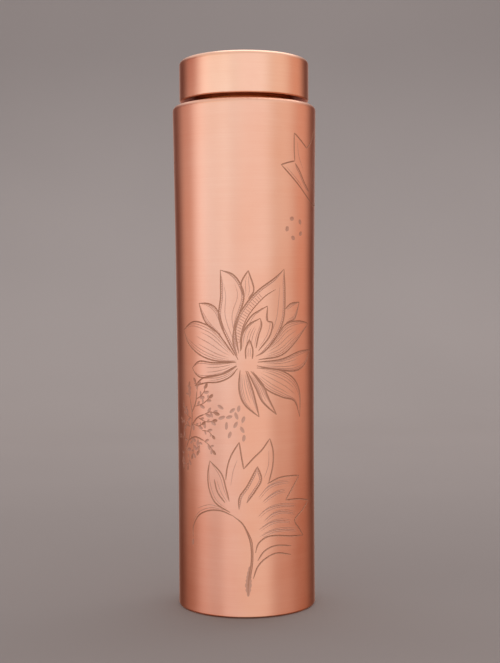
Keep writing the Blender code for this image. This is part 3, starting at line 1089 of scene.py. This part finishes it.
def cap_lining(finish):
    wall = LINING_BORE + LINING_SHEET
    flange_top = CAP_RIM + COPPER_SHEET + JOINT_GAP + LINING_SHEET
    flange_low = flange_top - LINING_SHEET
    ceiling = LINING_TOP - LINING_SHEET
    before = [(0.0, ceiling)]
    before += roll(LINING_BORE - 0.4 * MM, ceiling - 0.4 * MM, 0.4 * MM, 90, 0, steps=5)
    after = roll(LINING_BORE + 0.4 * MM, flange_low + 0.4 * MM, 0.4 * MM, 180, 270, steps=5)
    after += [
        (LINING_FLANGE, flange_low),
        (LINING_FLANGE, flange_top),
        (wall, flange_top),
    ]
    after += roll(wall - LINING_ROLL, LINING_TOP - LINING_ROLL, LINING_ROLL, 0, 90)
    after.append((0.0, LINING_TOP))
    return threaded(
        "cap_lining", before, LINING_BORE, -RIDGE_HEIGHT, flange_low + 0.8 * MM, ceiling - 1.2 * MM,
        CAP_RIDGE_START, after, "cap", "insert_copper", finish,
    )


def seal_keeper(finish):
    bead = 0.5 * MM
    dish = 0.6 * MM
    outline = [(0.0, KEEPER_HIGH - dish)]
    for share in np.linspace(0, 1, 9):
        drop = dish * (1 + math.cos(math.pi * share)) / 2
        outline.append((12 * MM + 4 * MM * share, KEEPER_HIGH - drop))
    outline += roll(KEEPER_WALL - bead, KEEPER_HIGH - bead, bead, 90, 0, steps=5)
    outline += [(KEEPER_WALL, KEEPER_LOW + KEEPER_SHEET), (KEEPER_RADIUS, KEEPER_LOW + KEEPER_SHEET)]
    return turned("seal_keeper", sheet(outline, -KEEPER_SHEET), "cap", "insert_copper", finish)


def seal_washer(finish):
    inner, outer = SEAL_BORE + SEAL_ROUND, SEAL_RADIUS - SEAL_ROUND
    low, high = SEAL_LOW + SEAL_ROUND, SEAL_HIGH - SEAL_ROUND
    section = []
    for radius, height, start in ((inner, low, 270), (inner, high, 180), (outer, high, 90), (outer, low, 0)):
        section += roll(radius, height, SEAL_ROUND, start, start - 90, steps=5)
    return turned("seal_washer", section, "seal", "silicone", finish)


# ---------------------------------------------------------------- studio


def paper_sweep(finish):
    """Pale paper that lies flat under the bottle and curves up behind it."""
    half = 1.6
    front = -1.6
    back = 1.35
    bend = 0.55
    height = 1.9
    profile = [(front, 0.0), (back - bend, 0.0)]
    for angle in np.linspace(0, math.pi / 2, 25)[1:]:
        profile.append((back - bend + bend * math.sin(angle), bend - bend * math.cos(angle)))
    profile.append((back, height))
    shape = bmesh.new()
    left = [shape.verts.new((-half, y, z)) for y, z in profile]
    right = [shape.verts.new((half, y, z)) for y, z in profile]
    for index in range(len(profile) - 1):
        shape.faces.new((left[index], right[index], right[index + 1], left[index + 1]))
    mesh = to_mesh("paper_sweep", shape)
    mesh.shade_smooth()
    mesh.materials.append(finish)
    sweep = to_scene("paper_sweep", mesh)
    return sweep


def softbox(name, azimuth, distance, height, width, tall, power, aim):
    """A soft light that looks at a point.  Azimuth is in degrees round from the camera's side, to
    the right."""
    data = bpy.data.lights.new(name, "AREA")
    data.shape = "RECTANGLE"
    data.size = width
    data.size_y = tall
    data.energy = power
    light = to_scene(name, data)
    angle = math.radians(azimuth)
    light.location = (distance * math.sin(angle), -distance * math.cos(angle), height)
    light.rotation_euler = (Vector(aim) - light.location).to_track_quat("-Z", "Y").to_euler()
    light.visible_camera = False
    return light


# Elevations in degrees between which one height of the tent fades into the next
UNDERSIDE_TO_LOW = (-60, -24)
LOW_TO_LEVEL = (-14, 1)
LEVEL_TO_HIGH = (5, 13)
HIGH_TO_CEILING = (14, 45)
# Bearings in degrees, to either side, between which the front of the ceiling fades into its back
CEILING_TURN = (115, 150)
UNDERSIDE = colour(0.03, 0.012, 0.010)
ROOM_LOW = colour(0.104, 0.038, 0.024)
ROOM_LEVEL = colour(0.13, 0.055, 0.045)
CEILING_FRONT = colour(0.80, 0.74, 0.73)
CEILING_BACK = colour(1.05, 1.02, 1.02)
# Each panel: bearing in degrees round from the camera's side, half-width, softness of its edges,
# and its colour below the table's level, level with the bottle, and higher up
TENT_PANELS = (
    (-48, 36, 18, (0.37, 0.11, 0.03), (1.06, 1.40, 1.66), (0.90, 0.78, 0.60)),
    (-98, 25, 14, (0.15, 0.045, 0.025), (0.72, 0.55, 0.48), (0.18, 0.0, 0.0)),
    (-24, 16, 9, (0.34, 0.36, 0.38), (0.0, 0.0, 0.0), (0.07, 0.17, 0.22)),
    (16, 26, 14, (0.71, 0.54, 0.44), (0.94, 0.98, 1.04), (0.94, 1.02, 1.08)),
    (84, 40, 16, (0.15, 0.03, 0.005), (0.62, 0.43, 0.36), (0.54, 0.33, 0.24)),
    (62, 24, 16, (0.19, 0.085, 0.055), (0.24, 0.39, 0.41), (0.28, 0.46, 0.49)),
    (112, 16, 10, (0.03, 0.01, 0.0), (0.12, 0.06, 0.04), (0.0, 0.0, 0.0)),
    (180, 20, 10, (0.37, 0.26, 0.22), (0.52, 0.42, 0.38), (0.36, 0.26, 0.22)),
)


def light_tent():
    """Soft light from all round: panels that fade into one another, warmer and dimmer where they
    reach down past the table."""
    world = bpy.data.worlds.new("light_tent")
    room = Recipe(world, "Background")
    x, y, z = room.parts(room.direction())
    bearing = x.maths("ARCTAN2", 0 - y) * DEGREES
    elevation = z.maths("ARCSINE") * DEGREES
    raised = elevation.between(*LOW_TO_LEVEL)
    lofty = elevation.between(*LEVEL_TO_HIGH)
    light = room.blend(raised, ROOM_LOW, ROOM_LEVEL)
    for middle, half, fade, low, level, high in TENT_PANELS:
        off = (bearing - middle).maths("WRAP", 180.0, -180.0).maths("ABSOLUTE")
        tint = room.blend(lofty, room.blend(raised, colour(*low), colour(*level)), colour(*high))
        strength = 1 - off.between(half - fade, half + fade)
        glow = room.node("ShaderNodeVectorMath", {"operation": "SCALE"}, {0: tint, "Scale": strength})
        light = room.node("ShaderNodeVectorMath", {"operation": "ADD"}, {0: light, 1: glow})
    behind = bearing.maths("ABSOLUTE").between(*CEILING_TURN)
    ceiling = room.blend(behind, CEILING_FRONT, CEILING_BACK)
    light = room.blend(elevation.between(*HIGH_TO_CEILING), light, ceiling)
    light = room.blend(elevation.between(*UNDERSIDE_TO_LOW), UNDERSIDE, light)
    room.set(Color=light)
    bpy.context.scene.world = world


def studio():
    light_tent()
    sweep = paper_sweep(sweep_paper())
    sweep.visible_glossy = False
    softbox(
        "overhead", azimuth=160, distance=0.5, height=1.3, width=1.0, tall=1.0, power=3.0, aim=(0, 0, 0.14)
    )
    backdrop_light = softbox(
        "backdrop", azimuth=170, distance=0.45, height=1.5, width=1.6, tall=0.4, power=7.0, aim=(0, 1.3, 0.1)
    )
    backdrop_light.visible_glossy = False


def camera():
    data = bpy.data.cameras.new("camera")
    data.lens = 66.8
    data.sensor_width = 36.0
    eye = to_scene("camera", data)
    eye.location = (0.00235, -0.638, 0.160)
    eye.rotation_mode = "XYZ"
    tilt_down = math.radians(1.72)
    lean = math.radians(0.36)
    eye.rotation_euler = (math.pi / 2 - tilt_down, 0, 0)
    eye.rotation_euler.rotate_axis("Z", -lean)
    bpy.context.scene.camera = eye


def main():
    satin = brushed_copper("satin_copper", colour(0.88, 0.47, 0.32), colour(0.95, 0.60, 0.45))
    cap_satin = brushed_copper("cap_satin_copper", colour(0.90, 0.50, 0.34), colour(0.96, 0.62, 0.46), 0.30)
    pressed = plain_copper("pressed_copper", colour(0.72, 0.36, 0.24), colour(0.86, 0.50, 0.36), 0.42)
    lining = plain_copper("lining_copper", colour(0.76, 0.40, 0.27), colour(0.88, 0.53, 0.38), 0.36)
    # The neck's copper is darker and redder than the body's: painted shade of the gap between the shoulder
    # and the cap
    neck = plain_copper("neck_copper", colour(0.62, 0.24, 0.12), colour(0.78, 0.36, 0.21), 0.30)
    filler = brazing_filler()
    etched = etched_copper("etched_copper", colour(0.50, 0.255, 0.165), colour(0.64, 0.375, 0.27))
    scratched = etched_copper("scratched_copper", colour(0.60, 0.34, 0.25), colour(0.72, 0.45, 0.35), 0.42)

    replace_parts(engraved_body(satin, etched, pressed, scratched), "body_shell")
    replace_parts(base_plate(pressed), "base_disc")
    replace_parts(base_filler(filler), "base_braze_ring")
    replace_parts(threaded_neck(neck), "neck_collar")
    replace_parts(neck_filler(filler), "neck_braze_ring")
    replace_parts(cap_cup(cap_satin), "cap_shell")
    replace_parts(cap_lining(lining), "cap_insert")
    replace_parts(seal_keeper(lining), "seal_retainer")
    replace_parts(seal_washer(white_silicone()), "cap_seal")

    studio()
    camera()
    bpy.context.scene.view_settings.view_transform = "Standard"


main()
